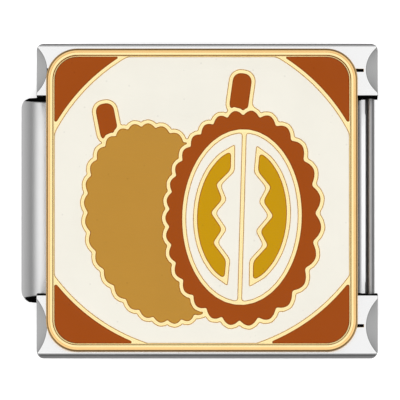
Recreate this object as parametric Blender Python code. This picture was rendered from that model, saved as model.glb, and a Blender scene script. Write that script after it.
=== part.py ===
"""A modular bracelet link with a gold-rimmed enamel face plate showing a durian.

Upper case and lower sleeve are two pressed steel shells, one above the other.
A wire bail joins them at the left, and a second wire bail at the right is free
to hook into the next link's sleeve.  A bowed leaf spring in each shell presses
on the wires.  X runs along the bracelet, Y across it, Z out of the wrist, and
the origin is under the middle of the link, on the surface it lies on.

Every length below is in millimetres; MM turns it into Blender's metres.
"""
from math import atan2, cos, pi, radians, sin, tau

import bmesh
import bpy
from mathutils import Matrix, Vector

MM = 0.001

# Overall levels, from the surface upwards
SLEEVE_HEIGHT = 1.35
CASE_BOTTOM = 1.50
CASE_TOP = 2.95
PLATE_GAP = 0.02
PLATE_BOTTOM = CASE_TOP + PLATE_GAP
PLATE_TOP = 3.85

# Upper case: two hollow rails along X with a trough between them
CASE_X = (-4.68, 5.14)
CASE_HALF_WIDTH = 4.51
CASE_CORNER = 0.20
CASE_BEND = 0.06
CASE_WALL = 0.30
RAIL_TOP_THICKNESS = 0.50
TROUGH_SHIFT = 0.15
TROUGH_HALF_WIDTH = 2.87
WEB_X = (-3.70, 4.656)
WEB_THICKNESS = 0.30
SLIT_WIDTH = 0.08
SLIT_DEPTH = 0.38
SLIT_Y = {-1: -3.60, 1: 3.745}
SLIT_LENGTH = 1.20
SLIT_FROM_END = (0.27, 0.42)
SCALLOP_DEPTH = (0.30, 0.345)
SCALLOP_DROP = 0.42
SCALLOP_SHARE = 0.93

# Lower sleeve: one strip rolled round both ends
SLEEVE_X = (-5.14, 4.62)
SLEEVE_SHIFT = 0.105
SLEEVE_HALF_WIDTH = 2.81
SLEEVE_WALL = 0.18
SLEEVE_SEAM = (-0.30, 0.30)
SLEEVE_END_SLOPE = 0.17
SLEEVE_CORNER = 0.35

# Wire bails
WIRE_RADIUS = 0.13
WIRE_BEND = 0.22
WIRE_PLAY = 0.02
ARM_Y = 3.55
HOOK_TIP_Y = 2.35
LEFT_BAIL_X = -4.07
RIGHT_BAIL_X = 4.92
UPPER_AXIS_Z = 2.00
LOWER_AXIS_Z = 0.675
FREE_HOOK_Z = 0.52

# Leaf springs
LEAF_THICKNESS = 0.12
LEAF_PLAY = 0.03
UPPER_LEAF_HALF_WIDTH = 2.78
LOWER_LEAF_HALF_WIDTH = 2.60
UPPER_LEAF_X = (-3.62, 4.24)
LOWER_LEAF_X = (-3.85, 3.90)
LIP_RADIUS = 0.24
LIP_OFFSET = 0.06
LIP_ANGLES = (-70, -10)

# Face plate and its enamel
PLATE_CENTRE = (0.076, -0.016)
PLATE_SIZE = (8.945, 8.706)
PLATE_CORNER = 0.90
PLATE_BEVEL = 0.08
RIM_WIDTH = 0.245
GOLD_LINE = 0.12
POCKET_DEPTH = 0.30
ENAMEL_PLAY = 0.015
ENAMEL_BELOW_GOLD = 0.03

# The picture, measured from the middle of the plate
DISH_ARC_RADIUS = 5.40
DISH_ARC_CENTRES = {"top": (0.57, -0.56), "bottom": (0.13, 1.02)}
WHOLE_FRUIT = dict(centre=(-1.26, -0.675), radii=(1.92, 2.81), lean=15.7, bumps=31, depth=0.12)
CUT_FRUIT = dict(centre=(1.155, -0.51), radii=(2.07, 2.92), lean=-1.6, bumps=28, depth=0.17,
                 spread=0.25, widest=-15.0)
PULP = ((1.15, -0.49), (1.61, 2.42))
PULP_LEAN = -1.6
WHOLE_STEM = dict(centre=(-2.72, 2.24), size=(0.50, 1.05), radius=0.21, lean=11.0)
CUT_STEM = dict(centre=(1.11, 3.08), size=(0.52, 1.10), radius=0.22, lean=-8.0)
LOBE_RADII = (1.28, 1.94)
LOBE_CENTRE = (1.15, -0.45)
LOBE_LEAN = -3.0
LOBE_INNER_EDGE = ((0.42, -1.82), (0.40, -1.30), (0.80, -0.82), (0.56, -0.42), (0.91, 0.04),
                   (0.60, 0.44), (0.80, 0.86), (0.40, 1.30), (0.42, 1.82))
LOBE_ARC_POINTS = 12

PICTURE_PLANE = 6.0     # larger than the plate, for tools that cut to a straight line
OVERSHOOT = 0.1         # how far a cutter passes the faces that it cuts
CLEAR_OF_ALL = 1.0      # how far a flat pattern cutter stands above and below its piece
SCALLOP_TOOL_LENGTH = 4.0


# ---------------------------------------------------------------- materials

def material(name, colour, roughness, metallic):
    made = bpy.data.materials.new(name)
    made.use_nodes = True
    shader = made.node_tree.nodes["Principled BSDF"]
    shader.inputs["Base Color"].default_value = (*colour, 1.0)
    shader.inputs["Roughness"].default_value = roughness
    shader.inputs["Metallic"].default_value = metallic
    return made


# ---------------------------------------------------------------- flat outlines

def turned(points, lean, centre):
    """Turn points anticlockwise by lean degrees about the origin, then move them to centre."""
    c, s = cos(radians(lean)), sin(radians(lean))
    return [(centre[0] + x * c - y * s, centre[1] + x * s + y * c) for x, y in points]


def ellipse(centre, radii, lean=0.0, count=48):
    steps = [tau * i / count for i in range(count)]
    return turned([(radii[0] * cos(t), radii[1] * sin(t)) for t in steps], lean, centre)


def thorny(centre, radii, lean, bumps, depth, spread=0.0, widest=0.0):
    """An ellipse whose edge is a row of round bumps, four points to each bump.

    The bumps grow wider and taller by the share spread towards the angle widest, in degrees.
    """
    points = []
    for i in range(4 * bumps):
        even = tau * i / (4 * bumps)
        from_widest = even - radians(widest)
        t = even + spread * sin(from_widest)
        rise = depth * (1 + spread * cos(from_widest)) * abs(sin(0.5 * bumps * even))
        points.append(((radii[0] + rise) * cos(t), (radii[1] + rise) * sin(t)))
    return turned(points, lean, centre)


def rounded_box(centre, size, radius, lean=0.0, steps=5):
    half_x, half_y = size[0] / 2 - radius, size[1] / 2 - radius
    points = []
    for corner, (sx, sy) in enumerate(((1, 1), (-1, 1), (-1, -1), (1, -1))):
        for i in range(steps + 1):
            t = (corner + i / steps) * pi / 2
            points.append((sx * half_x + radius * cos(t), sy * half_y + radius * sin(t)))
    return turned(points, lean, centre)


def lobe(side):
    """Half an ellipse with a zigzag inner edge; side is -1 for the left one, +1 for the right."""
    inner = [(side * x, y) for x, y in LOBE_INNER_EDGE]
    first = atan2(LOBE_INNER_EDGE[-1][1] / LOBE_RADII[1], LOBE_INNER_EDGE[-1][0] / LOBE_RADII[0])
    arc = []
    for i in range(1, LOBE_ARC_POINTS):
        t = first - 2 * first * i / LOBE_ARC_POINTS
        arc.append((side * LOBE_RADII[0] * cos(t), LOBE_RADII[1] * sin(t)))
    points = turned(inner + arc, LOBE_LEAN, LOBE_CENTRE)
    return points if side < 0 else points[::-1]


def grown(points, distance):
    """Move each edge of an anticlockwise outline outwards by distance."""
    moved = []
    for i, point in enumerate(points):
        before, here, after = Vector(points[i - 1]), Vector(point), Vector(points[(i + 1) % len(points)])
        first, second = (here - before).normalized(), (after - here).normalized()
        normal = Vector((first.y + second.y, -first.x - second.x)).normalized()
        stretch = max(normal.dot(Vector((first.y, -first.x))), 0.5)
        moved.append(tuple(here + normal * (distance / stretch)))
    return moved


# ---------------------------------------------------------------- solids

def new_object(name, shape, finish=None, smooth_angle=30.0):
    """Put a bmesh built in millimetres into the scene as a named object."""
    bmesh.ops.scale(shape, vec=(MM, MM, MM), verts=shape.verts)
    bmesh.ops.recalc_face_normals(shape, faces=shape.faces)
    mesh = bpy.data.meshes.new(name)
    shape.to_mesh(mesh)
    shape.free()
    made = bpy.data.objects.new(name, mesh)
    bpy.context.scene.collection.objects.link(made)
    finish_surface(made, finish, smooth_angle)
    return made


def finish_surface(made, finish, smooth_angle=30.0):
    made.data.shade_smooth()
    made.data.set_sharp_from_angle(angle=radians(smooth_angle))
    if finish:
        made.data.materials.clear()
        made.data.materials.append(finish)


def slab(name, outline, bottom, top, finish=None, bevel=0.0):
    """Extrude a flat XY outline from bottom to top, with its top edge bevelled if asked."""
    shape = bmesh.new()
    face = shape.faces.new([shape.verts.new((x, y, bottom)) for x, y in outline])
    raised = bmesh.ops.extrude_face_region(shape, geom=[face])["geom"]
    lifted = [item for item in raised if isinstance(item, bmesh.types.BMVert)]
    bmesh.ops.translate(shape, vec=(0, 0, top - bottom), verts=lifted)
    if bevel:
        edges = [e for e in shape.edges if all(v.co.z > (top + bottom) / 2 for v in e.verts)]
        bmesh.ops.bevel(shape, geom=edges, offset=bevel, segments=2, profile=0.5,
                        affect="EDGES", material=-1)
    return new_object(name, shape, finish)


def box(name, low, high):
    return slab(name, [(low[0], low[1]), (high[0], low[1]), (high[0], high[1]), (low[0], high[1])],
                low[2], high[2])


def extrusion_along(axis, name, section, start, end, finish=None):
    """Extrude a section along X (section in y, z) or along Y (section in x, z)."""
    shape = bmesh.new()
    place = {"X": lambda a, b, t: (t, a, b), "Y": lambda a, b, t: (a, t, b)}[axis]
    face = shape.faces.new([shape.verts.new(place(a, b, start)) for a, b in section])
    raised = bmesh.ops.extrude_face_region(shape, geom=[face])["geom"]
    lifted = [item for item in raised if isinstance(item, bmesh.types.BMVert)]
    bmesh.ops.translate(shape, vec=place(0, 0, end - start), verts=lifted)
    return new_object(name, shape, finish)


def rod(name, centre, direction, radius, length, sides=20):
    shape = bmesh.new()
    turn = Vector(direction).to_track_quat("Z", "Y").to_matrix().to_4x4()
    bmesh.ops.create_cone(shape, cap_ends=True, segments=sides, radius1=radius, radius2=radius,
                          depth=length, matrix=Matrix.Translation(centre) @ turn)
    return new_object(name, shape)


def carve(body, tools, operation="DIFFERENCE"):
    """Apply one exact boolean for each tool, keep the result in body, delete the tools."""
    finish = body.data.materials[0] if body.data.materials else None
    for tool in tools:
        cut = body.modifiers.new("carve", "BOOLEAN")
        cut.object, cut.operation, cut.solver = tool, operation, "EXACT"
    evaluated = body.evaluated_get(bpy.context.evaluated_depsgraph_get())
    carved = bpy.data.meshes.new_from_object(evaluated)
    body.modifiers.clear()
    body.data = carved
    finish_surface(body, finish)
    for tool in tools:
        bpy.data.objects.remove(tool)


def ribbon(path, thickness):
    """Closed section of a strip of even thickness along an open path of (x, z) points."""
    left, right = [], []
    for i, (x, z) in enumerate(path):
        x0, z0 = path[max(i - 1, 0)]
        x1, z1 = path[min(i + 1, len(path) - 1)]
        along = Vector((x1 - x0, z1 - z0)).normalized() * (thickness / 2)
        left.append((x - along.y, z + along.x))
        right.append((x + along.y, z - along.x))
    return left + right[::-1]


def arc(centre, radius, start, end, steps):
    angles = [radians(start + (end - start) * i / steps) for i in range(steps + 1)]
    return [(centre[0] + radius * cos(t), centre[1] + radius * sin(t)) for t in angles]


def place_on_axis(made, x, y, z, parent=None):
    """Move an object's origin to a point, with its shape left where it is."""
    origin = Vector((x, y, z)) * MM
    made.data.transform(Matrix.Translation(-origin))
    made.location = origin
    if parent:
        made.parent = parent
        made.location = origin - parent.matrix_world.translation
    bpy.context.view_layer.update()


# ---------------------------------------------------------------- upper case

def rail_edges(side):
    """Y of a rail's inner and outer faces; side is +1 or -1."""
    return side * TROUGH_HALF_WIDTH + TROUGH_SHIFT, side * CASE_HALF_WIDTH


def case_section():
    """The pressed section in (y, z): two channels open below, and the trough between them."""
    inner_r, outer_r = rail_edges(1)
    inner_l, outer_l = rail_edges(-1)
    under = CASE_TOP - RAIL_TOP_THICKNESS
    right_bend = arc((outer_r - CASE_BEND, CASE_TOP - CASE_BEND), CASE_BEND, 0, 90, 3)
    left_bend = arc((outer_l + CASE_BEND, CASE_TOP - CASE_BEND), CASE_BEND, 90, 180, 3)
    floor = CASE_BOTTOM + WEB_THICKNESS
    return ([(outer_r, CASE_BOTTOM)] + right_bend
            + [(inner_r, CASE_TOP), (inner_r, floor), (inner_l, floor), (inner_l, CASE_TOP)]
            + left_bend
            + [(outer_l, CASE_BOTTOM), (outer_l + CASE_WALL, CASE_BOTTOM), (outer_l + CASE_WALL, under),
               (inner_l - CASE_WALL, under), (inner_l - CASE_WALL, CASE_BOTTOM),
               (inner_r + CASE_WALL, CASE_BOTTOM), (inner_r + CASE_WALL, under),
               (outer_r - CASE_WALL, under), (outer_r - CASE_WALL, CASE_BOTTOM)])


def scallop_tool(side, end):
    """A leaning round cutter that coins the hollow at one rail end."""
    inner, outer = rail_edges(side)
    out = 1 if end else -1
    depth = SCALLOP_DEPTH[end]
    half_chord = SCALLOP_SHARE * abs(outer - inner) / 2
    tilt = atan2(depth, SCALLOP_DROP)
    reach = depth * cos(tilt)
    radius = (reach * reach + half_chord * half_chord) / (2 * reach)
    centre = (CASE_X[end] - out * depth + out * radius / cos(tilt), (inner + outer) / 2, CASE_TOP)
    return rod("scallop", centre, (out * depth, 0, -SCALLOP_DROP), radius, SCALLOP_TOOL_LENGTH,
               sides=36)


def slit_tool(side, end):
    out = 1 if end else -1
    near = CASE_X[end] - out * SLIT_FROM_END[end]
    far = near - out * SLIT_LENGTH
    low, high = SLIT_Y[side] - SLIT_WIDTH / 2, SLIT_Y[side] + SLIT_WIDTH / 2
    return box("slit", (min(near, far), low, CASE_TOP - SLIT_DEPTH),
               (max(near, far), high, CASE_TOP + OVERSHOOT))


def web_end_tool(end):
    """Takes the trough's floor away beyond WEB_X, and leaves the rails standing."""
    side = TROUGH_HALF_WIDTH
    far = CASE_X[end] + (CLEAR_OF_ALL if end else -CLEAR_OF_ALL)
    top = CASE_BOTTOM + WEB_THICKNESS + OVERSHOOT
    return box("web_end", (min(WEB_X[end], far), TROUGH_SHIFT - side, CASE_BOTTOM - OVERSHOOT),
               (max(WEB_X[end], far), TROUGH_SHIFT + side, top))


def pivot_tool(x):
    length = 2 * (TROUGH_HALF_WIDTH + CASE_WALL + OVERSHOOT)
    return rod("pivot", (x, TROUGH_SHIFT, UPPER_AXIS_Z), (0, 1, 0), WIRE_RADIUS + WIRE_PLAY,
               length, sides=16)


def make_case(steel):
    case = extrusion_along("X", "case", case_section(), *CASE_X, finish=steel)
    middle = (sum(CASE_X) / 2, 0)
    size = (CASE_X[1] - CASE_X[0], 2 * CASE_HALF_WIDTH)
    plan = slab("plan", rounded_box(middle, size, CASE_CORNER, steps=3),
                CASE_BOTTOM - CLEAR_OF_ALL, CASE_TOP + CLEAR_OF_ALL)
    carve(case, [plan], "INTERSECT")
    ends = [(side, end) for side in (-1, 1) for end in (0, 1)]
    carve(case, [web_end_tool(0), web_end_tool(1), pivot_tool(LEFT_BAIL_X), pivot_tool(RIGHT_BAIL_X)])
    carve(case, [slit_tool(*which) for which in ends] + [scallop_tool(*which) for which in ends])
    return case


# ---------------------------------------------------------------- lower sleeve

def sleeve_section():
    """The rolled strip in (x, z), from one side of the seam round both ends to the other."""
    radius = (SLEEVE_HEIGHT - SLEEVE_WALL) / 2
    level = SLEEVE_HEIGHT / 2
    left, right = SLEEVE_X[0] + SLEEVE_HEIGHT / 2, SLEEVE_X[1] - SLEEVE_HEIGHT / 2
    path = [(SLEEVE_SEAM[0], level + radius)]
    path += arc((left, level), radius, 90, 270, 12)
    path += arc((right, level), radius, -90, 90, 12)
    path.append((SLEEVE_SEAM[1], level + radius))
    return ribbon(path, SLEEVE_WALL)


def make_sleeve(steel, bail):
    low, high = SLEEVE_SHIFT - SLEEVE_HALF_WIDTH, SLEEVE_SHIFT + SLEEVE_HALF_WIDTH
    sleeve = extrusion_along("Y", "lower_sleeve", sleeve_section(), low, high, finish=steel)
    for vertex in sleeve.data.vertices:
        outward = 1 if vertex.co.y > SLEEVE_SHIFT * MM else -1
        vertex.co.y += outward * SLEEVE_END_SLOPE * (MM - vertex.co.z / SLEEVE_HEIGHT)
    size = (SLEEVE_X[1] - SLEEVE_X[0], 2 * (SLEEVE_HALF_WIDTH + SLEEVE_END_SLOPE))
    plan = rounded_box((sum(SLEEVE_X) / 2, SLEEVE_SHIFT), size, SLEEVE_CORNER, steps=4)
    carve(sleeve, [slab("plan", plan, -CLEAR_OF_ALL, SLEEVE_HEIGHT + CLEAR_OF_ALL)], "INTERSECT")
    place_on_axis(sleeve, LEFT_BAIL_X, 0, LOWER_AXIS_Z, parent=bail)
    return sleeve


# ---------------------------------------------------------------- wire bails

def bail_path(bar_z, hook_z):
    """A squared U in (y, z): crossbar at bar_z, two arms, and hooks that turn inwards at hook_z."""
    turn = 1 if bar_z > hook_z else -1
    low, high = hook_z + turn * WIRE_BEND, bar_z - turn * WIRE_BEND
    inset = ARM_Y - WIRE_BEND
    half = [(HOOK_TIP_Y, hook_z)]
    half += arc((inset, low), WIRE_BEND, -90 * turn, 0, 4)
    half += arc((inset, high), WIRE_BEND, 0, 90 * turn, 4)
    return half + [(-y, z) for y, z in reversed(half)]


def make_bail(name, x, bar_z, hook_z, steel, parent):
    """A round wire bent on bail_path, with its origin on the hinge axis in the case."""
    curve = bpy.data.curves.new(name, "CURVE")
    curve.dimensions = "3D"
    curve.bevel_depth = WIRE_RADIUS * MM
    curve.bevel_resolution = 2
    curve.use_fill_caps = True
    points = bail_path(bar_z, hook_z)
    spline = curve.splines.new("POLY")
    spline.points.add(len(points) - 1)
    for point, (y, z) in zip(spline.points, points):
        point.co = (0, (y + TROUGH_SHIFT) * MM, (z - UPPER_AXIS_Z) * MM, 1)
    curve.materials.append(steel)
    bail = bpy.data.objects.new(name, curve)
    bpy.context.scene.collection.objects.link(bail)
    bail.location = Vector((x, 0, UPPER_AXIS_Z)) * MM
    bail.parent = parent
    bpy.context.view_layer.update()
    return bail


# ---------------------------------------------------------------- leaf springs

def bow(start, end, foot, crown, steps=14):
    """Points (x, z) of a shallow bow from foot height at both ends up to crown in the middle."""
    points = []
    for i in range(steps + 1):
        share = i / steps
        points.append((start + (end - start) * share, foot + (crown - foot) * sin(pi * share)))
    return points


def make_leaf(name, path, half_width, steel):
    return extrusion_along("Y", name, ribbon(path, LEAF_THICKNESS), TROUGH_SHIFT - half_width,
                           TROUGH_SHIFT + half_width, finish=steel)


def make_upper_leaf(steel, case):
    """Bowed between the trough's floor and the plate; its right end turns up beside the wire."""
    foot = CASE_BOTTOM + WEB_THICKNESS + LEAF_THICKNESS / 2 + LEAF_PLAY + PLATE_GAP
    crown = PLATE_BOTTOM - LEAF_THICKNESS / 2 - LEAF_PLAY
    lip_centre = (UPPER_LEAF_X[1] + LIP_OFFSET, foot + LIP_RADIUS)
    lip = arc(lip_centre, LIP_RADIUS, *LIP_ANGLES, steps=4)
    leaf = make_leaf("upper_leaf_spring", bow(*UPPER_LEAF_X, foot, crown) + lip,
                     UPPER_LEAF_HALF_WIDTH, steel)
    leaf.parent = case
    return leaf


def make_lower_leaf(steel, sleeve):
    """Bowed inside the sleeve, with its left end against the bail's crossbar."""
    foot = SLEEVE_WALL + LEAF_THICKNESS / 2 + LEAF_PLAY
    crown = SLEEVE_HEIGHT - SLEEVE_WALL - LEAF_THICKNESS / 2 - LEAF_PLAY
    leaf = make_leaf("lower_leaf_spring", bow(*LOWER_LEAF_X, foot, crown), LOWER_LEAF_HALF_WIDTH, steel)
    place_on_axis(leaf, LEFT_BAIL_X, 0, LOWER_AXIS_Z, parent=sleeve)
    return leaf


# ---------------------------------------------------------------- face plate and enamel

def picture_cells():
    """Each enamel cell as (name, material, outlines it lies inside, outlines it lies outside)."""
    field_size = [side - 2 * RIM_WIDTH for side in PLATE_SIZE]
    field = rounded_box((0, 0), field_size, PLATE_CORNER - RIM_WIDTH)
    whole, cut = thorny(**WHOLE_FRUIT), thorny(**CUT_FRUIT)
    whole_stem, cut_stem = rounded_box(**WHOLE_STEM), rounded_box(**CUT_STEM)
    pulp = ellipse(*PULP, lean=PULP_LEAN, count=40)
    lobes = {"left": lobe(-1), "right": lobe(1)}

    def outside(outline):
        return grown(outline, GOLD_LINE)

    def half_plane(side):
        near, far = GOLD_LINE / 2, PICTURE_PLANE
        corners = [(near, -far), (far, -far), (far, far), (near, far)]
        mirrored = [(-x, y) for x, y in reversed(corners)]
        return turned(corners if side > 0 else mirrored, PULP_LEAN, PULP[0])

    def quarter(sx, sy):
        far = PICTURE_PLANE
        return [(min(0, sx * far), min(0, sy * far)), (max(0, sx * far), min(0, sy * far)),
                (max(0, sx * far), max(0, sy * far)), (min(0, sx * far), max(0, sy * far))]

    def dish_edge(level, sx):
        x, y = DISH_ARC_CENTRES[level]
        return ellipse((-sx * x, y), (DISH_ARC_RADIUS, DISH_ARC_RADIUS), count=96)

    dish = {(level, sx): dish_edge(level, sx) for level in ("top", "bottom") for sx in (-1, 1)}
    cells = [("enamel_background", "cream_enamel", [field, *dish.values()],
              [outside(outline) for outline in (whole, cut, whole_stem, cut_stem)]),
             ("enamel_whole_fruit", "ochre_enamel", [whole], [outside(cut)]),
             ("enamel_whole_stem", "brown_enamel", [whole_stem], [outside(whole)]),
             ("enamel_cut_rind", "brown_enamel", [cut], [outside(pulp)]),
             ("enamel_cut_stem", "brown_enamel", [cut_stem], [outside(cut)])]
    for end, sx in (("left", -1), ("right", 1)):
        cells.append((f"enamel_pulp_{end}", "cream_enamel", [pulp, half_plane(sx)],
                      [outside(lobes[end])]))
        cells.append((f"enamel_lobe_{end}", "mustard_enamel", [lobes[end]], []))
        for level, sy in (("top", 1), ("bottom", -1)):
            cells.append((f"enamel_corner_{level}_{end}", "brown_enamel",
                          [field, quarter(sx, sy)], [outside(dish[level, sx])]))
    return cells


def cell_solid(name, inside, without, bottom, top, play, finish=None):
    """A prism with the cell's outline, smaller by play on every side."""
    def at_plate(outline, distance):
        moved = grown(outline, distance) if distance else outline
        return [(x + PLATE_CENTRE[0], y + PLATE_CENTRE[1]) for x, y in moved]

    low, high = bottom - CLEAR_OF_ALL, top + CLEAR_OF_ALL
    solid = slab(name, at_plate(inside[0], -play), bottom, top, finish)
    for outline in inside[1:]:
        carve(solid, [slab("keep", at_plate(outline, -play), low, high)], "INTERSECT")
    if without:
        carve(solid, [slab("lose", at_plate(outline, play), low, high) for outline in without])
    return solid


def make_face(gold, finishes, case):
    plate = slab("face_plate", rounded_box(PLATE_CENTRE, PLATE_SIZE, PLATE_CORNER), PLATE_BOTTOM,
                 PLATE_TOP, gold, bevel=PLATE_BEVEL)
    plate.parent = case
    floor = PLATE_TOP - POCKET_DEPTH
    pockets = []
    for name, finish, inside, without in picture_cells():
        pockets.append(cell_solid("pocket", inside, without, floor, PLATE_TOP + CLEAR_OF_ALL, 0))
        fill = cell_solid(name, inside, without, floor + ENAMEL_PLAY, PLATE_TOP - ENAMEL_BELOW_GOLD,
                          ENAMEL_PLAY, finishes[finish])
        fill.parent = case
    carve(plate, pockets)
    return plate


# ---------------------------------------------------------------- the link

def build():
    for old in list(bpy.data.objects):
        bpy.data.objects.remove(old)
    steel = material("polished_steel", (0.78, 0.78, 0.78), 0.16, 1.0)
    spring_steel = material("spring_steel", (0.62, 0.62, 0.63), 0.32, 1.0)
    gold = material("gold_plating", (0.93, 0.70, 0.36), 0.20, 1.0)
    enamels = {
        "cream_enamel": material("cream_enamel", (0.92, 0.91, 0.82), 0.25, 0.0),
        "brown_enamel": material("brown_enamel", (0.36, 0.075, 0.008), 0.25, 0.0),
        "ochre_enamel": material("ochre_enamel", (0.53, 0.27, 0.045), 0.25, 0.0),
        "mustard_enamel": material("mustard_enamel", (0.59, 0.32, 0.004), 0.25, 0.0),
    }
    case = make_case(steel)
    make_face(gold, enamels, case)
    make_upper_leaf(spring_steel, case)
    left = make_bail("left_bail", LEFT_BAIL_X, LOWER_AXIS_Z, UPPER_AXIS_Z, spring_steel, case)
    make_bail("right_bail", RIGHT_BAIL_X, UPPER_AXIS_Z, FREE_HOOK_Z, spring_steel, case)
    sleeve = make_sleeve(steel, left)
    make_lower_leaf(spring_steel, sleeve)
    for made in bpy.data.objects:
        corners = [made.matrix_world @ Vector(corner) for corner in made.bound_box]
        spans = [(min(c[k] for c in corners) / MM, max(c[k] for c in corners) / MM) for k in range(3)]
        print(made.name, " ".join(f"{low:.3f}..{high:.3f}" for low, high in spans), "mm")


build()
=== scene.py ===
# %% [markdown]
# # A bracelet link, from pressed steel to fired enamel
# The link is about ten millimetres long.  A hollow steel case sits on a rolled steel
# sleeve, two wire bails hinge in them, and a gold plate carries a picture in enamel.
# The frame holds every piece at its true size.  This script makes the finer surface
# around it: rounded edges, wire that is really round, a beaded rim, and raised gold
# walls with glass between them.

from math import atan2, ceil, cos, hypot, pi, radians, sin, tan

import bmesh
import bpy
from mathutils import Matrix, Vector


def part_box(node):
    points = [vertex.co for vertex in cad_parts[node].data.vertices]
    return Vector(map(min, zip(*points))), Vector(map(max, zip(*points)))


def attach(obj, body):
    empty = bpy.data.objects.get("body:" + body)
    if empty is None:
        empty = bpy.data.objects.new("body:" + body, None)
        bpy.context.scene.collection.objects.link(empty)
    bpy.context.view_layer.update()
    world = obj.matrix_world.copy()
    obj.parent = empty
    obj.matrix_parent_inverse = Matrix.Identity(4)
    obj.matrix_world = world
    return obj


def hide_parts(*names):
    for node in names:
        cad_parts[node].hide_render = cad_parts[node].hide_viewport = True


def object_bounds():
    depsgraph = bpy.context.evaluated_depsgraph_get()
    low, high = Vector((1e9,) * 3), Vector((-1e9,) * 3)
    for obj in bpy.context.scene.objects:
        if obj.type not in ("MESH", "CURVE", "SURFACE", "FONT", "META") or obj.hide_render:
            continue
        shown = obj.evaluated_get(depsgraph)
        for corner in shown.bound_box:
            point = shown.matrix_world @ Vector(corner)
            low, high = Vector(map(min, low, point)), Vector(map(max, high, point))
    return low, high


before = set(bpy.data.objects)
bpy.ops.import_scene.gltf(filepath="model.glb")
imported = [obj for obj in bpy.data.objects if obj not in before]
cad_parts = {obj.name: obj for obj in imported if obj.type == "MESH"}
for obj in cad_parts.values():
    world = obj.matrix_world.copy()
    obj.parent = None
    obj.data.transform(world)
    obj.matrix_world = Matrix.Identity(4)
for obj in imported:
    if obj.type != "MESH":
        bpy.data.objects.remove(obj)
cad_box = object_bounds()
MM = 0.001
print("CAD box, mm:", [[round(value / MM, 3) for value in corner] for corner in cad_box])


# %% [markdown]
# ## Working in millimetres
# Blender counts in metres, and its tools are happier with numbers near one.  So every
# shape is drawn in millimetres, and only the finished mesh is scaled down.

# %% Corners of a node, in millimetres
def box_mm(node):
    """The lowest and highest corner of a CAD node."""
    low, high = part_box(node)
    return low / MM, high / MM


case_low, case_high = box_mm("case")
plate_low, plate_high = box_mm("face_plate")
sleeve_low, sleeve_high = box_mm("lower_sleeve")
upper_low, upper_high = box_mm("upper_leaf_spring")
trough_middle = (upper_low.y + upper_high.y) / 2
sleeve_middle = (sleeve_low.y + sleeve_high.y) / 2
print("case", case_low, case_high)
print("plate", plate_low, plate_high, "trough middle", round(trough_middle, 3))


# %% [markdown]
# ## The camera
# A link lies flat, and its face is what people look at.  A long lens from almost
# straight above keeps the sides of the plate parallel, and the two degrees that are
# left show a sliver of the front edge.  The lens follows from the distance and from
# the width that the picture should take in.

# %% Camera
VIEW_WIDTH = 11.5
VIEW_DISTANCE = 400.0
VIEW_ELEVATION = 88.0
VIEW_CENTRE = (0.022, 0.014)
SENSOR = 36.0


def new_object(name, data):
    made = bpy.data.objects.new(name, data)
    bpy.context.scene.collection.objects.link(made)
    return made


def make_camera():
    lens = bpy.data.cameras.new("camera")
    lens.sensor_width = SENSOR
    lens.lens = SENSOR * VIEW_DISTANCE / VIEW_WIDTH
    lens.clip_start, lens.clip_end = 0.01, 10.0
    camera = new_object("camera", lens)
    tilt = radians(VIEW_ELEVATION)
    back = Vector((0, -cos(tilt), sin(tilt)))
    target = Vector((*VIEW_CENTRE, case_high.z))
    camera.location = (target + back * VIEW_DISTANCE) * MM
    camera.rotation_euler = back.to_track_quat("Z", "Y").to_euler()
    bpy.context.scene.camera = camera
    return camera


print("camera stands at", make_camera().location)


# %% [markdown]
# ## Materials as arithmetic
# A material is a net of nodes, and most of its nodes only add or multiply.  A small
# class wraps a node's output so that Python's own plus and times build those nodes,
# and one method adds every other kind.  Colours go through Mix nodes, because a Math
# node would turn them grey.

# %% Signal and Finish
def grey(value):
    """A grey colour with full opacity."""
    return (value, value, value, 1)


class Signal:
    """One output socket of a finish, which can be added to and multiplied."""

    def __init__(self, finish, socket):
        self.finish, self.socket = finish, socket

    def __add__(self, other):
        return self.finish.maths("ADD", self, other)

    def __mul__(self, other):
        return self.finish.maths("MULTIPLY", self, other)

    __radd__, __rmul__ = __add__, __mul__


class Finish:
    """A node tree with one method for its nodes; a material's tree has a Principled shader."""

    def __init__(self, owner, constants=None):
        owner.use_nodes = True
        self.owner, self.tree = owner, owner.node_tree
        self.shader = self.tree.nodes.get("Principled BSDF") or self.tree.nodes["Background"]
        self.feed(constants or {})

    def node(self, kind, settings=None, inputs=None, output=0):
        made = self.tree.nodes.new("ShaderNode" + kind)
        for name, value in (settings or {}).items():
            if name == "stops":
                self.set_stops(made.color_ramp, value)
            else:
                setattr(made, name, value)
        self.join(made, inputs or {})
        return Signal(self, made.outputs[output])

    def join(self, node, inputs):
        for name, value in inputs.items():
            if isinstance(value, Signal):
                self.tree.links.new(value.socket, node.inputs[name])
            else:
                node.inputs[name].default_value = value

    def set_stops(self, ramp, stops):
        for _ in range(len(stops) - 2):
            ramp.elements.new(0.5)
        for element, (place, shade) in zip(ramp.elements, stops):
            element.position, element.color = place, grey(shade)

    def feed(self, inputs):
        """Give the shader's own sockets their values or links."""
        self.join(self.shader, inputs)

    def maths(self, operation, first, second):
        return self.node("Math", {"operation": operation}, {0: first, 1: second})

    def mix(self, share, first, second):
        return self.node("Mix", {"data_type": "RGBA"}, {0: share, 6: first, 7: second}, output=2)


# %% [markdown]
# ## The light tent
# Polished metal has hardly any colour of its own: it shows the room.  Small jewellery
# is photographed in a white tent, so the world here is a tent, white overhead, with a
# dark band low on its wall that draws the dark lines round every rounded edge.  Lower
# down, the two long sides are darker than the ends.  The stops are elevations in
# degrees and how bright the tent is there.

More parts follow.
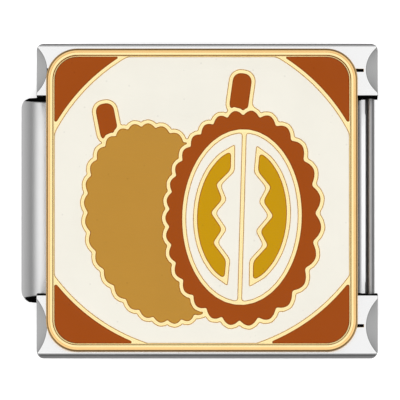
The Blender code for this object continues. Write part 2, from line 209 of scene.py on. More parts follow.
# %% World
DARK_BAND = [(17, 0.10), (32, 0.10)]
WHITE_ROOF = [(39, 0.55), (46, 0.80), (62, 1.30), (76, 1.28), (86, 1.10), (90, 1.08)]
LOW_ENDS = [(-90, 0.16), (-65, 0.62), (-40, 0.60), (-18, 0.50), (0, 0.46), (12, 0.34)]
LOW_SIDES = [(-90, 0.12), (-65, 0.20), (-40, 0.14), (-18, 0.12), (0, 0.16), (12, 0.22)]


def make_tent():
    world = bpy.data.worlds.new("light_tent")
    bpy.context.scene.world = world
    tent = Finish(world)
    direction = tent.node("TexCoord", output="Generated")
    height = tent.node("SeparateXYZ", inputs={0: direction}, output="Z")
    across = tent.node("SeparateXYZ", inputs={0: direction}, output="Y")
    shades = []
    for low_part in (LOW_ENDS, LOW_SIDES):
        bands = low_part + DARK_BAND + WHITE_ROOF
        stops = [((sin(radians(angle)) + 1) / 2, shade) for angle, shade in bands]
        shades.append(tent.node("ValToRGB", {"stops": stops}, {0: height * 0.5 + 0.5}))
    tent.feed({"Color": tent.mix(across * across, *shades), "Strength": 1.0})


make_tent()
bpy.context.scene.view_settings.view_transform = "Standard"
print("tent with a dark band at", [angle for angle, _ in DARK_BAND], "degrees")


# %% [markdown]
# ## Lamps and floor
# Two soft lamps lift the enamel, which shows its own colour and needs more light than
# the metal does.  The floor is a pale sheet that is lit from below as well, like the
# table of a jewellery studio, so that the link casts next to no shadow on it.

# %% Lamps
LAMP_DISTANCE = 120.0
LAMPS = [("key_lamp", -60.0, 55.0, 90.0, 0.0345), ("fill_lamp", 120.0, 60.0, 110.0, 0.024)]


def make_lamp(name, azimuth, elevation, size, power):
    lamp = bpy.data.lights.new(name, "AREA")
    lamp.size = size * MM
    lamp.energy = power
    made = new_object(name, lamp)
    turn, rise = radians(azimuth), radians(elevation)
    away = Vector((sin(turn) * cos(rise), -cos(turn) * cos(rise), sin(rise)))
    made.location = away * LAMP_DISTANCE * MM
    made.rotation_euler = away.to_track_quat("Z", "Y").to_euler()
    made.visible_glossy = False
    return made


for setting in LAMPS:
    make_lamp(*setting)
print("lamps:", [setting[0] for setting in LAMPS])


# %% Floor
FLOOR_SIDE = 2000.0
FLOOR_DROP = 0.01
FLOOR_LIGHT = 0.5


def make_floor():
    shape = bmesh.new()
    bmesh.ops.create_grid(shape, x_segments=1, y_segments=1, size=FLOOR_SIDE / 2 * MM)
    bmesh.ops.translate(shape, vec=(0, 0, cad_box[0].z - FLOOR_DROP * MM), verts=shape.verts)
    mesh = bpy.data.meshes.new("floor")
    shape.to_mesh(mesh)
    shape.free()
    paper = Finish(bpy.data.materials.new("studio_paper"),
                   {"Roughness": 0.9, "Emission Strength": FLOOR_LIGHT})
    place = paper.node("TexCoord", output="Object")
    fibres = paper.node("TexNoise", inputs={"Vector": place, "Scale": 900.0, "Detail": 3.0})
    white = paper.mix(fibres, grey(0.93), grey(0.96))
    paper.feed({"Base Color": white, "Emission Color": white})
    mesh.materials.append(paper.owner)
    floor = new_object("floor", mesh)
    floor.visible_glossy = False
    return floor


print("floor at", make_floor().data.vertices[0].co.z)


# %% [markdown]
# ## Polished steel
# The case and the sleeve are stainless steel, pressed and then polished on a wheel.
# The wheel leaves hair-fine lines along the link and a faint unevenness, and both are
# only seen where a reflection breaks.  Noise stretched along X gives the lines, and a
# broad noise gives the unevenness.  Slits, the walls of the trough, and the inside and
# open sides of the sleeve's roll get a near-black, dull finish, which is painted shade.

# %% Steel finishes
def grain(finish, stretch, scale, detail=4.0):
    """Noise in object coordinates, stretched by the shares in stretch."""
    place = finish.node("TexCoord", output="Object")
    drawn = finish.node("Mapping", inputs={"Vector": place, "Scale": stretch})
    return finish.node("TexNoise", inputs={"Vector": drawn, "Scale": scale, "Detail": detail})


def steel(name, light, dark, roughness, lines, wave):
    """Metal between two greys, with lines and wave as the depths of its marks in millimetres."""
    metal = Finish(bpy.data.materials.new(name), {"Metallic": 1.0})
    hair = grain(metal, (0.06, 1.0, 1.0), 9000.0)
    broad = grain(metal, (1.0, 1.0, 1.0), 700.0, 2.0)
    fine = metal.node("Bump", inputs={"Strength": 1.0, "Distance": lines * MM, "Height": hair})
    both = metal.node("Bump", inputs={"Strength": 1.0, "Distance": wave * MM, "Height": broad,
                                      "Normal": fine})
    metal.feed({"Base Color": metal.mix(broad, grey(dark), grey(light)),
                "Roughness": roughness + 0.05 * hair, "Normal": both})
    return metal.owner


polished_steel = steel("polished_steel", 0.83, 0.79, 0.12, lines=0.0006, wave=0.0016)
sleeve_steel = steel("sleeve_steel", 0.90, 0.85, 0.40, lines=0.0010, wave=0.0020)
spring_steel = steel("spring_steel", 0.72, 0.64, 0.26, lines=0.0012, wave=0.0010)
bail_steel = steel("bail_steel", 0.50, 0.42, 0.42, lines=0.0004, wave=0.0006)
print("steels:", polished_steel.name, sleeve_steel.name, spring_steel.name, bail_steel.name)


# %% Painted shade for slits and hollows
def make_painted_shade():
    # Painted shade: a near-black, dull material that stands in for the dark inside slits and hollows.
    shade_paint = Finish(bpy.data.materials.new("painted_shade_steel"), {"Specular IOR Level": 0.0, "Roughness": 0.9})
    scale = grain(shade_paint, (1.0, 1.0, 1.0), 2500.0)
    shade_paint.feed({"Base Color": shade_paint.mix(scale, grey(0.002), grey(0.005))})
    return shade_paint.owner


painted_shade_steel = make_painted_shade()
print("hollows:", painted_shade_steel.name)


# %% [markdown]
# ## Gold plating
# The plate and the walls of its cells are plated.  Its colour is painted by slope, which is
# painted light: faces that point up get a pale straw, as a highlight, and rounded
# edges get a warmer, deeper tone, as the shaded flanks.  The normal in object
# coordinates tells the two apart.  Polishing leaves the plating slightly uneven.

# %% Gold finish
def make_gold():
    gold = Finish(bpy.data.materials.new("gold_plating"), {"Metallic": 1.0})
    cloud = grain(gold, (1.0, 1.0, 1.0), 1600.0, 3.0)
    hair = grain(gold, (1.0, 0.2, 1.0), 12000.0)
    normal = gold.node("TexCoord", output="Normal")
    upwards = gold.node("SeparateXYZ", inputs={0: normal}, output="Z")
    # Painted light: faces that point up get the pale highlight tone, sloped faces the warmer shade tone.
    level = gold.node("ValToRGB", {"stops": [(0.955, 0.0), (0.993, 1.0)]}, {0: upwards})
    painted_slope_tone = gold.mix(cloud, (0.92, 0.56, 0.22, 1), (0.96, 0.64, 0.28, 1))
    painted_level_highlight = gold.mix(cloud, (0.86, 0.71, 0.35, 1), (0.90, 0.78, 0.42, 1))
    colour = gold.mix(level, painted_slope_tone, painted_level_highlight)
    bump = gold.node("Bump", inputs={"Strength": 1.0, "Distance": 0.0012 * MM, "Height": cloud})
    gold.feed({"Base Color": colour, "Roughness": 0.13 + 0.08 * hair, "Normal": bump})
    return gold.owner


gold_plating = make_gold()
print("gold:", gold_plating.name)


# %% [markdown]
# ## Enamel
# Each cell holds opaque glass, fired and polished.  Its colour is even, with a cloud
# of slightly denser pigment, a few pinholes from the firing, and a surface that is
# not quite flat.  The shine is kept low, because a white tent would otherwise lay a
# veil over the darker colours.

# %% Enamel finishes
ENAMEL_SHINE = 0.07
DENSE_SHARE = 0.93
PINHOLE_SHARE = 0.6
PINHOLE_STRENGTH = 0.25


def enamel(name, colour):
    glass = Finish(bpy.data.materials.new(name), {"Specular IOR Level": ENAMEL_SHINE})
    cloud = grain(glass, (1.0, 1.0, 1.0), 900.0, 3.0)
    swell = grain(glass, (1.0, 1.0, 1.0), 450.0, 1.0)
    place = glass.node("TexCoord", output="Object")
    specks = glass.node("TexVoronoi", inputs={"Vector": place, "Scale": 2600.0}, output="Distance")
    pinhole = glass.node("ValToRGB", {"stops": [(0.05, 1.0), (0.09, 0.0)]}, {0: specks})
    denser, pitted = [(*[value * share for value in colour], 1) for share in (DENSE_SHARE, PINHOLE_SHARE)]
    even = glass.mix(cloud, denser, (*colour, 1))
    shaded = glass.mix(pinhole * PINHOLE_STRENGTH, even, pitted)
    bump = glass.node("Bump", inputs={"Strength": 1.0, "Distance": 0.004 * MM, "Height": swell})
    glass.feed({"Base Color": shaded, "Roughness": 0.16 + 0.08 * cloud, "Normal": bump})
    return glass.owner


ENAMEL_COLOURS = {
    "cream_enamel": (0.93, 0.90, 0.80),
    "brown_enamel": (0.36, 0.070, 0.004),
    "ochre_enamel": (0.53, 0.27, 0.040),
    "mustard_enamel": (0.59, 0.315, 0.001),
}
enamels = {name: enamel(name, colour) for name, colour in ENAMEL_COLOURS.items()}
print("enamels:", sorted(enamels))


# %% [markdown]
# ## Helpers for shapes
# Sheet metal parts all begin as a flat outline swept along a straight line.  Holes
# and rounded plans are cut with exact booleans, as a press tool would, and then a
# bevel takes the sharpness off every edge.  The bevel goes by weights on the edges, so
# that one pass can round some of them wider.  A finished shape is scaled to metres and
# rides on its body.

# %% Swept outlines and cuts
def lifted(geometry):
    """The vertices among what an extrusion made."""
    return [item for item in geometry if isinstance(item, bmesh.types.BMVert)]


def swept(outline, sweep):
    """A closed bmesh: a flat outline of 3-D points, swept along a vector."""
    shape = bmesh.new()
    face = shape.faces.new([shape.verts.new(point) for point in outline])
    raised = bmesh.ops.extrude_face_region(shape, geom=[face])["geom"]
    bmesh.ops.translate(shape, vec=sweep, verts=lifted(raised))
    bmesh.ops.recalc_face_normals(shape, faces=shape.faces)
    return shape


def as_object(name, shape):
    mesh = bpy.data.meshes.new(name)
    shape.to_mesh(mesh)
    shape.free()
    return new_object(name, mesh)


def settled(body):
    """Keep the mesh that a body's modifiers give, and drop the modifiers."""
    evaluated = body.evaluated_get(bpy.context.evaluated_depsgraph_get())
    mesh = bpy.data.meshes.new_from_object(evaluated)
    body.modifiers.clear()
    body.data = mesh
    return body


def cut(body, tools, operation="DIFFERENCE"):
    for tool in tools:
        knife = body.modifiers.new("cut", "BOOLEAN")
        knife.object, knife.operation, knife.solver = tool, operation, "EXACT"
    settled(body)
    for tool in tools:
        bpy.data.objects.remove(tool)
    return body


EASED_ANGLE = 28.0
EASED_SEGMENTS = 3


def eased(body, width, wider=None):
    """Round each edge that turns by more than EASED_ANGLE; wider(edge) may give its own width."""
    shape = bmesh.new()
    shape.from_mesh(body.data)
    share = shape.edges.layers.float.new("bevel_weight_edge")
    widths = {}
    for edge in shape.edges:
        if len(edge.link_faces) == 2 and edge.calc_face_angle() > radians(EASED_ANGLE):
            widths[edge] = (wider(edge) if wider else None) or width
    widest = max(widths.values())
    for edge, own in widths.items():
        edge[share] = own / widest
    shape.to_mesh(body.data)
    shape.free()
    soft = body.modifiers.new("eased", "BEVEL")
    soft.width, soft.segments, soft.limit_method = widest, EASED_SEGMENTS, "WEIGHT"
    soft.use_clamp_overlap = False
    return settled(body)


# %% Finishing a piece
SMOOTH_ANGLE = 40.0


def finished(body, material, rides_on, slot, *stands_for, black=None):
    """Scale a body to metres, shade it, and tie it to the frame; black(face) picks the faces that get the
    near-black painted shade.
    """
    mesh = body.data
    mesh.materials.clear()
    mesh.materials.append(material)
    if black:
        mesh.materials.append(painted_shade_steel)
    for face in mesh.polygons:
        face.material_index = 1 if black and black(face) else 0
    mesh.transform(Matrix.Scale(MM, 4))
    mesh.shade_smooth()
    mesh.set_sharp_from_angle(angle=radians(SMOOTH_ANGLE))
    flats = body.modifiers.new("flat_faces_stay_flat", "WEIGHTED_NORMAL")
    flats.keep_sharp = True
    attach(body, rides_on)
    if stands_for:
        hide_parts(*stands_for)
    print(body.name, len(mesh.polygons), "faces on", rides_on)
    return body


# %% Flat outlines
def arc(centre, radius, start, end, steps):
    """Points along an arc, with its angles in degrees."""
    angles = [radians(start + (end - start) * i / steps) for i in range(steps + 1)]
    return [(centre[0] + radius * cos(t), centre[1] + radius * sin(t)) for t in angles]


def rounded_rectangle(low, high, radius, steps=10):
    corners = [((high.x - radius, high.y - radius), 0), ((low.x + radius, high.y - radius), 90),
               ((low.x + radius, low.y + radius), 180), ((high.x - radius, low.y + radius), 270)]
    return [point for centre, start in corners
            for point in arc(centre, radius, start, start + 90, steps)]


def flat(points, height):
    return [(x, y, height) for x, y in points]


def slab(outline, bottom, top):
    """A flat outline raised from one height to another."""
    return as_object("slab", swept(flat(outline, bottom), (0, 0, top - bottom)))


def block(low, high):
    corners = [(low[0], low[1]), (high[0], low[1]), (high[0], high[1]), (low[0], high[1])]
    return slab(corners, low[2], high[2])


def rod(centre, direction, radius, length, sides=96):
    """A closed cylinder about its centre, along a direction."""
    shape = bmesh.new()
    turn = Vector(direction).to_track_quat("Z", "Y").to_matrix().to_4x4()
    bmesh.ops.create_cone(shape, cap_ends=True, segments=sides, radius1=radius, radius2=radius,
                          depth=length, matrix=Matrix.Translation(centre) @ turn)
    return as_object("rod", shape)


print("helpers ready")


# %% [markdown]
# ## The case
# The upper case is one pressing: two box rails along the link with a lower web
# between them.  Its section is drawn once, across the link, and swept along it.  The
# walls of the trough lean out a little, as pressed walls often do.  The web is then
# cut back at both ends for the wires.  Each rail end has a coined hollow, which is a
# cylinder that leans outwards, and a fine slit behind it.  After the bevel, the top is
# set level again.  In what follows a side is -1 or 1, for the front and the back rail,
# and an end is 0 or 1, for left and right.

# %% Case dimensions
CASE_WALL = 0.30
RAIL_TOP = 0.50
WEB = 0.30
CASE_BEND = {-1: 0.14, 1: 0.06}
WALL_LEAN = 0.09
CASE_CORNER = 0.20
TROUGH_HALF_WIDTH = 2.87
WEB_X = (-3.70, 4.676)
SLIT_WIDTH = 0.08
SLIT_DEPTH = 0.38
SLIT_Y = {-1: -3.60, 1: 3.745}
SLIT_LENGTH = 1.20
SLIT_FROM_END = (0.32, 0.42)
SCALLOP_DEPTH = (0.30, 0.345)
SCALLOP_DROP = 0.42
SCALLOP_SHARE = 0.89
PIVOT_HOLE = 0.15
OVERSHOOT = 0.1
WELL_BEYOND = 1.0
NEAR = 0.01
HINGE_Z = 2.00
EDGE = 0.02
FRONT_RAIL_EDGE = 0.03
WEB_EDGE = 0.12
FLATNESS = 0.001

rail_inner = {side: side * TROUGH_HALF_WIDTH + trough_middle for side in (-1, 1)}
rail_outer = {-1: case_low.y, 1: case_high.y}
rail_ends = [(side, end) for side in (-1, 1) for end in (0, 1)]
case_x = (case_low.x, case_high.x)
OUTWARD = (-1, 1)


# %% Case section
def case_section():
    """Points (y, z) round the pressing, from the right wall over the trough to the left."""
    top, bottom = case_high.z, case_low.z
    under, web_top = top - RAIL_TOP, bottom + WEB
    right = arc((rail_outer[1] - CASE_BEND[1], top - CASE_BEND[1]), CASE_BEND[1], 0, 90, 4)
    left = arc((rail_outer[-1] + CASE_BEND[-1], top - CASE_BEND[-1]), CASE_BEND[-1], 90, 180, 8)
    trough = [(rail_inner[1], top), (rail_inner[1] - WALL_LEAN, web_top),
              (rail_inner[-1] + WALL_LEAN, web_top), (rail_inner[-1], top)]
    below = [(rail_outer[-1], bottom), (rail_outer[-1] + CASE_WALL, bottom),
             (rail_outer[-1] + CASE_WALL, under), (rail_inner[-1] - CASE_WALL, under),
             (rail_inner[-1] - CASE_WALL, bottom), (rail_inner[1] + CASE_WALL, bottom),
             (rail_inner[1] + CASE_WALL, under), (rail_outer[1] - CASE_WALL, under),
             (rail_outer[1] - CASE_WALL, bottom), (rail_outer[1], bottom)]
    return right + trough + left + below


# %% Cutters for the rail ends
def scallop(side, end):
    """The leaning cylinder that coins the hollow at one rail end."""
    out = OUTWARD[end]
    depth = SCALLOP_DEPTH[end]
    middle = (rail_inner[side] + rail_outer[side]) / 2
    half_chord = SCALLOP_SHARE * abs(rail_outer[side] - rail_inner[side]) / 2
    lean = atan2(depth, SCALLOP_DROP)
    reach = depth * cos(lean)
    radius = (reach * reach + half_chord * half_chord) / (2 * reach)
    centre = (case_x[end] - out * depth + out * radius / cos(lean), middle, case_high.z)
    return rod(centre, (out * depth, 0, -SCALLOP_DROP), radius, 4 * depth + 2 * radius)


def slit(side, end):
    out = OUTWARD[end]
    near = case_x[end] - out * SLIT_FROM_END[end]
    far = near - out * SLIT_LENGTH
    low, high = SLIT_Y[side] - SLIT_WIDTH / 2, SLIT_Y[side] + SLIT_WIDTH / 2
    return block((min(near, far), low, case_high.z - SLIT_DEPTH),
                 (max(near, far), high, case_high.z + OVERSHOOT))


def web_end(end):
    beyond = case_x[end] + OUTWARD[end] * WELL_BEYOND
    return block((min(WEB_X[end], beyond), rail_inner[-1], case_low.z - OVERSHOOT),
                 (max(WEB_X[end], beyond), rail_inner[1], case_low.z + WEB + OVERSHOOT))


def pivot_hole(bail):
    low, high = box_mm(bail)
    length = 2 * (TROUGH_HALF_WIDTH + CASE_WALL + OVERSHOOT)
    return rod(((low.x + high.x) / 2, trough_middle, HINGE_Z), (0, 1, 0), PIVOT_HOLE, length, 32)


# %% Make the case
def case_edge(edge):
    """Wider rounding for the web's free end and the front rail's inner edge."""
    middle = (edge.verts[0].co + edge.verts[1].co) / 2
    if abs(middle.x - WEB_X[1]) < NEAR and abs(middle.z - case_low.z - WEB) < NEAR:
        return WEB_EDGE
    if abs(middle.y - rail_inner[-1]) < NEAR and abs(middle.z - case_high.z) < NEAR:
        return FRONT_RAIL_EDGE
    return None


# Faces picked here get the near-black painted shade, which stands in for the dark inside the slits and on
# the trough walls.
def in_case_hollow(face):
    """Whether a face is inside a slit or on the wall of the trough."""
    x, y, z = face.center
    if z > case_high.z - FRONT_RAIL_EDGE / 2:
        return False
    behind_end = min(x - case_x[0] - SLIT_FROM_END[0], case_x[1] - SLIT_FROM_END[1] - x)
    in_slit = behind_end > -NEAR and any(abs(y - middle) < SLIT_WIDTH for middle in SLIT_Y.values())
    on_wall = any(abs(y - inner) < WALL_LEAN + NEAR for inner in rail_inner.values())
    return on_wall or (in_slit and z > case_high.z - SLIT_DEPTH - NEAR)


def make_case():
    start, length = case_low.x, case_high.x - case_low.x
    outline = [(start, y, z) for y, z in case_section()]
    case = as_object("pressed_case", swept(outline, (length, 0, 0)))
    plan = rounded_rectangle(case_low, case_high, CASE_CORNER)
    cut(case, [slab(plan, case_low.z - WELL_BEYOND, case_high.z + WELL_BEYOND)], "INTERSECT")
    cut(case, [web_end(0), web_end(1), pivot_hole("left_bail"), pivot_hole("right_bail")])
    cut(case, [scallop(*which) for which in rail_ends] + [slit(*which) for which in rail_ends])
    eased(case, EDGE, case_edge)
    for vertex in case.data.vertices:
        if vertex.co.z > case_high.z - FLATNESS:
            vertex.co.z = case_high.z
    return finished(case, polished_steel, "case", "polished_steel", "case", black=in_case_hollow)


make_case()


# %% [markdown]
# ## The sleeve
# The lower sleeve is a strip rolled round both ends until its edges almost meet on
# top.  Its section is the path of the strip's middle, thickened to both sides, and it
# is swept across the link.  The open sides slope a little, and the plan's corners are
# round.

# %% Sleeve
SHEET = 0.18
SEAM = (-0.30, 0.30)
SIDE_SLOPE = 0.19
SLEEVE_CORNER = 0.35
SLEEVE_EDGE = 0.02
INSIDE_SHARE = 0.7


def ribbon(path, thickness):
    """A strip of even thickness along an open path, as a closed ring of points."""
    left, right = [], []
    for i, (x, z) in enumerate(path):
        x0, z0 = path[max(i - 1, 0)]
        x1, z1 = path[min(i + 1, len(path) - 1)]
        along = Vector((x1 - x0, z1 - z0)).normalized() * (thickness / 2)
        left.append((x - along.y, z + along.x))
        right.append((x + along.y, z - along.x))
    return left + right[::-1]


def sleeve_path():
    level = sleeve_high.z / 2
    radius = level - SHEET / 2
    left, right = sleeve_low.x + level, sleeve_high.x - level
    return ([(SEAM[0], level + radius)] + arc((left, level), radius, 90, 270, 36)
            + arc((right, level), radius, -90, 90, 36) + [(SEAM[1], level + radius)])


# Faces picked here get the near-black painted shade, which stands in for the dark inside the roll.
def in_sleeve(face):
    """Whether a face's centre lies inside the roll; the centres of the two side faces do as well."""
    level = sleeve_high.z / 2
    beyond = max(sleeve_low.x + level - face.center.x, 0, face.center.x - sleeve_high.x + level)
    return hypot(beyond, face.center.z - level) < level - INSIDE_SHARE * SHEET


def make_sleeve():
    front, back = sleeve_low.y + SIDE_SLOPE, sleeve_high.y - SIDE_SLOPE
    outline = [(x, front, z) for x, z in ribbon(sleeve_path(), SHEET)]
    shape = swept(outline, (0, back - front, 0))
    for vertex in shape.verts:
        outward = 1 if vertex.co.y > sleeve_middle else -1
        vertex.co.y += outward * SIDE_SLOPE * (1 - vertex.co.z / sleeve_high.z)
    sleeve = as_object("rolled_sleeve", shape)
    plan = rounded_rectangle(sleeve_low, sleeve_high, SLEEVE_CORNER)
    cut(sleeve, [slab(plan, -WELL_BEYOND, sleeve_high.z + WELL_BEYOND)], "INTERSECT")
    eased(sleeve, SLEEVE_EDGE)
    return finished(sleeve, sleeve_steel, "sleeve", "polished_steel", "lower_sleeve", black=in_sleeve)


make_sleeve()


# %% [markdown]
# ## The wire bails
# A bail is a piece of round wire bent into a squared U, with both tips turned in.  The
# circle of its section is pushed along the straight runs and spun round the bends,
# which is how a wire bender forms it, and the tips are rounded by a few small steps.

# %% Wire
WIRE_BEND = 0.22
HOOK_TIP_Y = 2.35
WIRE_SIDES = 24
TIP_STEPS = 4
BEND_STEPS = 8


def push(shape, edges, step, scale=1.0, centre=None):
    """Extrude an open ring of edges by a step, and scale the new ring about centre."""
    grown = bmesh.ops.extrude_edge_only(shape, edges=edges)["geom"]
    verts = lifted(grown)
    bmesh.ops.translate(shape, vec=step, verts=verts)
    if centre is not None:
        bmesh.ops.scale(shape, vec=(scale,) * 3, verts=verts, space=Matrix.Translation(-centre))
    return [item for item in grown if isinstance(item, bmesh.types.BMEdge)]


def bend(shape, edges, centre, rise):
    """Spin an open ring of edges a quarter turn about an axis along X."""
    turned = bmesh.ops.spin(shape, geom=edges, cent=centre, axis=(rise, 0, 0), angle=pi / 2,
                            steps=BEND_STEPS, dvec=(0, 0, 0))["geom_last"]
    return [item for item in turned if isinstance(item, bmesh.types.BMEdge)]


def make_wire(name, node, bar_z, hook_z, rides_on):
    """Half of the bail from its tip to the middle of the bar, and its mirror image."""
    low, high = box_mm(node)
    radius = (high.x - low.x) / 2
    x = (low.x + high.x) / 2
    arm = high.y - radius - trough_middle
    rise = 1 if bar_z > hook_z else -1
    shape = bmesh.new()
    upright = Matrix.Translation((x, HOOK_TIP_Y, hook_z)) @ Matrix.Rotation(pi / 2, 4, "X")
    bmesh.ops.create_circle(shape, segments=WIRE_SIDES, radius=radius * sin(pi / 2 / TIP_STEPS),
                            cap_ends=True, matrix=upright)
    edges = shape.edges[:]
    for i in range(1, TIP_STEPS):
        here, after = pi / 2 * i / TIP_STEPS, pi / 2 * (i + 1) / TIP_STEPS
        step = radius * (cos(here) - cos(after))
        centre = Vector((x, HOOK_TIP_Y + radius * (cos(pi / 2 / TIP_STEPS) - cos(after)), hook_z))
        edges = push(shape, edges, (0, step, 0), sin(after) / sin(here), centre)
    tip_depth = radius * cos(pi / 2 / TIP_STEPS)
    edges = push(shape, edges, (0, arm - WIRE_BEND - HOOK_TIP_Y - tip_depth, 0))
    edges = bend(shape, edges, (x, arm - WIRE_BEND, hook_z + rise * WIRE_BEND), rise)
    edges = push(shape, edges, (0, 0, bar_z - hook_z - 2 * rise * WIRE_BEND))
    edges = bend(shape, edges, (x, arm - WIRE_BEND, bar_z - rise * WIRE_BEND), rise)
    push(shape, edges, (0, WIRE_BEND - arm, 0))
    bmesh.ops.mirror(shape, geom=shape.verts[:] + shape.edges[:] + shape.faces[:], axis="Y",
                     merge_dist=0.001)
    bmesh.ops.remove_doubles(shape, verts=shape.verts, dist=0.0005)
    bmesh.ops.translate(shape, vec=(0, trough_middle, 0), verts=shape.verts)
    bmesh.ops.recalc_face_normals(shape, faces=shape.faces)
    return finished(as_object(name, shape), bail_steel, rides_on, "bail_wire", node)


left_low, left_high = box_mm("left_bail")
right_low, _ = box_mm("right_bail")
wire_radius = (left_high.x - left_low.x) / 2
make_wire("left_bail_wire", "left_bail", left_low.z + wire_radius, HINGE_Z, "left_bail")
make_wire("right_bail_wire", "right_bail", HINGE_Z, right_low.z + wire_radius, "right_bail")


# %% [markdown]
# ## The leaf springs
# A bowed strip of spring steel in each shell presses on the wires.  The upper one ends
# in a lip that shows beside the right wire.  Both are ribbons with a bow for a path.

# %% Leaf springs
LEAF = 0.12
LEAF_EDGE = 0.03
LIP_RADIUS = 0.24
BOW_STEPS = 40
UPPER_LEAF_X = (-3.62, 4.24)
LIP_OFFSET = 0.06
LOWER_LEAF_X = (-3.85, 3.90)
LEAF_PLAY = 0.03
LEAF_LIFT = 0.05


def bow(ends, foot, crown):
    """Points (x, z) along half a sine wave."""
    shares = [i / BOW_STEPS for i in range(BOW_STEPS + 1)]
    return [(ends[0] + (ends[1] - ends[0]) * share, foot + (crown - foot) * sin(pi * share))
            for share in shares]


def make_leaf(name, node, path, rides_on):
    low, high = box_mm(node)
    outline = [(x, low.y, z) for x, z in ribbon(path, LEAF)]
    leaf = as_object(name, swept(outline, (0, high.y - low.y, 0)))
    eased(leaf, LEAF_EDGE)
    return finished(leaf, spring_steel, rides_on, "spring_steel", node)


upper_foot = case_low.z + WEB + LEAF / 2 + LEAF_LIFT
lip = arc((UPPER_LEAF_X[1] + LIP_OFFSET, upper_foot + LIP_RADIUS), LIP_RADIUS, -70, -10, 8)
make_leaf("upper_leaf", "upper_leaf_spring",
          bow(UPPER_LEAF_X, upper_foot, upper_high.z - LEAF / 2) + lip, "case")
lower_foot = SHEET + LEAF / 2 + LEAF_PLAY
make_leaf("lower_leaf", "lower_leaf_spring",
          bow(LOWER_LEAF_X, lower_foot, sleeve_high.z - SHEET - LEAF / 2 - LEAF_PLAY), "sleeve")


# %% [markdown]
# ## The plate
# The plate is a gold tray.  Its outline is raised into a block, and then insetting the
# top face again and again, each time a little up or down, turns the rim's rounded
# profile: a soft outer flank, a crest, and a steep drop inside.  Each run of the profile
# is a width and a slope in degrees.  The face that is left drops to the tray's floor,
# under the cell walls.

# %% Plate
PLATE_CORNER = 0.90
PLATE_STEPS = 16
RIM_RUNS = [(0.010, 72), (0.014, 55), (0.016, 40), (0.015, 28), (0.020, 17), (0.020, 15), (0.016, 22),
            (0.014, 20), (0.012, 10), (0.034, 2), (0.012, -8), (0.008, -30), (0.008, -55), (0.008, -72)]
FLOOR_DEPTH = 0.30
UNDER_EDGE = 0.05


def rim_profile():
    """Offsets inwards and heights along the rim, from its outer foot, with its crest on top."""
    points = [(0.0, 0.0)]
    for width, slope in RIM_RUNS:
        offset, height = points[-1]
        points.append((offset + width, height + width * tan(radians(slope))))
    crest = max(height for _, height in points)
    return [(offset, plate_high.z + height - crest) for offset, height in points]


def make_plate():
    outline = rounded_rectangle(plate_low, plate_high, PLATE_CORNER, PLATE_STEPS)
    profile = rim_profile()
    shape = swept(flat(outline, plate_low.z), (0, 0, profile[0][1] - plate_low.z))
    under = [e for e in shape.edges if all(v.co.z < plate_low.z + 0.001 for v in e.verts)]
    bmesh.ops.bevel(shape, geom=under, offset=UNDER_EDGE, segments=3, profile=0.5,
                    affect="EDGES", material=-1)
    top = max(shape.faces, key=lambda face: face.calc_center_median().z)
    for (inner, low), (outer, high) in zip(profile, profile[1:]):
        bmesh.ops.inset_region(shape, faces=[top], thickness=outer - inner, depth=high - low,
                               use_even_offset=True)
    raised = bmesh.ops.extrude_face_region(shape, geom=[top])["geom"]
    bmesh.ops.delete(shape, geom=[top], context="FACES_ONLY")
    sink = profile[-1][1] - (plate_high.z - FLOOR_DEPTH)
    bmesh.ops.translate(shape, vec=(0, 0, -sink), verts=lifted(raised))
    return finished(as_object("plate_tray", shape), gold_plating, "case", "gold_plating", "face_plate")


make_plate()


# %% [markdown]
# ## Outlines of the cells
# The frame already holds every enamel cell as a flat-topped solid.  Walking round the
# top face of each gives its outlines, always with the glass on the left hand.  A
# wire-worker can't bend a sharp corner, so every corner is rounded by a small curve,
# which also leaves the little gold wedges where walls meet.

# %% Read and soften the outlines
CRUMB = 0.018
CORNER_REACH = 0.11
CORNER_STEP = radians(14)
LONGEST_SHARE = 0.45


def top_outlines(node):
    """Rings of points round the top face of a flat-topped CAD solid."""
    shape = bmesh.new()
    shape.from_mesh(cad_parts[node].data)
    bmesh.ops.scale(shape, vec=(1 / MM,) * 3, verts=shape.verts)
    bmesh.ops.remove_doubles(shape, verts=shape.verts, dist=1e-4)
    shape.normal_update()
    following = {}
    for face in shape.faces:
        if face.normal.z > 0.5:
            for loop in face.loops:
                if any(abs(other.normal.z) < 0.5 for other in loop.edge.link_faces):
                    following[loop.vert] = loop.link_loop_next.vert
    rings = []
    while following:
        ring = []
        vertex = next(iter(following))
        while vertex in following:
            ring.append(Vector(vertex.co[:2]))
            vertex = following.pop(vertex)
        rings.append(ring)
    shape.free()
    return rings


def without_crumbs(ring):
    """Leave out points that lie closer to the last one kept than CRUMB."""
    kept = [ring[0]]
    for point in ring[1:]:
        if (point - kept[-1]).length > CRUMB:
            kept.append(point)
    return kept


def softened(ring):
    """Replace each corner by a parabola that starts and ends a short way from it."""
    soft = []
    for i, here in enumerate(ring):
        back, ahead = ring[i - 1] - here, ring[(i + 1) % len(ring)] - here
        reach = min(LONGEST_SHARE * back.length, LONGEST_SHARE * ahead.length, CORNER_REACH)
        start, end = here + back.normalized() * reach, here + ahead.normalized() * reach
        steps = max(1, ceil((pi - back.angle(ahead)) / CORNER_STEP))
        for k in range(steps + 1):
            t = k / steps
            soft.append(start * (1 - t) ** 2 + here * (2 * t * (1 - t)) + end * t * t)
    return soft


cell_nodes = sorted(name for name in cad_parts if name.startswith("enamel_"))
cells = {node: [softened(without_crumbs(ring)) for ring in top_outlines(node)] for node in cell_nodes}
print({node: [len(ring) for ring in rings] for node, rings in cells.items()})


# %% [markdown]
# ## Cell walls and glass
# A filled flat curve takes any number of rings and knows which are holes.  Its bevel
# rounds the top edges of what it fills.  With a ring under the rim as the outer one
# and every cell as a hole, what is left is the net of gold walls.  The net is then
# trimmed at the inner foot of the rim, so that no wall shows outside it.  The same
# tool fills each cell with its glass.

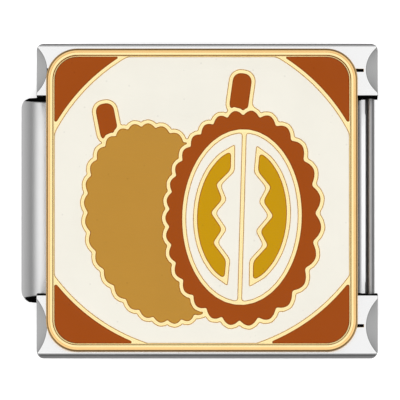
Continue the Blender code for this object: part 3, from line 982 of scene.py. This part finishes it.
# %% Filled curves
def filled(name, rings, bottom, top, rounding, outgrow, segments=4):
    """A prism over rings of points, with rounded edges; outgrow widens it."""
    curve = bpy.data.curves.new(name, "CURVE")
    curve.dimensions, curve.fill_mode = "2D", "BOTH"
    curve.bevel_depth, curve.bevel_resolution = rounding, segments
    curve.offset = outgrow - rounding
    curve.extrude = (top - bottom) / 2 - rounding
    for ring in rings:
        spline = curve.splines.new("POLY")
        spline.use_cyclic_u = True
        spline.points.add(len(ring) - 1)
        for point, (x, y) in zip(spline.points, ring):
            point.co = (x, y, 0, 1)
    drawn = new_object(name + "_curve", curve)
    evaluated = drawn.evaluated_get(bpy.context.evaluated_depsgraph_get())
    mesh = bpy.data.meshes.new_from_object(evaluated)
    bpy.data.objects.remove(drawn)
    shape = bmesh.new()
    shape.from_mesh(mesh)
    bmesh.ops.remove_doubles(shape, verts=shape.verts, dist=1e-5)
    bmesh.ops.translate(shape, vec=(0, 0, (top + bottom) / 2), verts=shape.verts)
    return as_object(name, shape)


# %% Walls
WALL_CREST = 0.02
WALL_ROUNDING = 0.035
WALL_FROM_EDGE = 0.12
WALL_OUTGROW = -0.008
RIM_TO_WALL = 0.236
SUNK = 0.01


def plate_outline(inset):
    """The plate's outline, smaller by inset on every side."""
    step = Vector((inset, inset, 0))
    return rounded_rectangle(plate_low + step, plate_high - step, PLATE_CORNER - inset, PLATE_STEPS)


def make_walls():
    rings = [ring for node in cell_nodes for ring in cells[node]]
    walls = filled("cell_walls", [plate_outline(WALL_FROM_EDGE)] + rings,
                   plate_high.z - FLOOR_DEPTH - SUNK, plate_high.z - WALL_CREST, WALL_ROUNDING,
                   WALL_OUTGROW)
    trimmer = slab(plate_outline(RIM_TO_WALL), plate_low.z, plate_high.z + WELL_BEYOND)
    cut(walls, [trimmer], "INTERSECT")
    return finished(walls, gold_plating, "case", "gold_plating")


make_walls()


# %% Glass
GLASS_BELOW_RIM = 0.055
GLASS_ROUNDING = 0.012
GLASS_OUTGROW = 0.012
GLASS_CLEAR = 0.01
GLASS_OF = {"background": "cream_enamel", "pulp": "cream_enamel", "whole_fruit": "ochre_enamel",
            "lobe": "mustard_enamel"}


def glass_kind(node):
    kinds = [kind for part, kind in GLASS_OF.items() if part in node]
    return kinds[0] if kinds else "brown_enamel"


def make_glass(node):
    kind = glass_kind(node)
    glass = filled(node.replace("enamel", "glass"), cells[node],
                   plate_high.z - FLOOR_DEPTH + GLASS_CLEAR, plate_high.z - GLASS_BELOW_RIM,
                   GLASS_ROUNDING, GLASS_OUTGROW, segments=2)
    return finished(glass, enamels[kind], "case", kind, node)


for node in cell_nodes:
    make_glass(node)
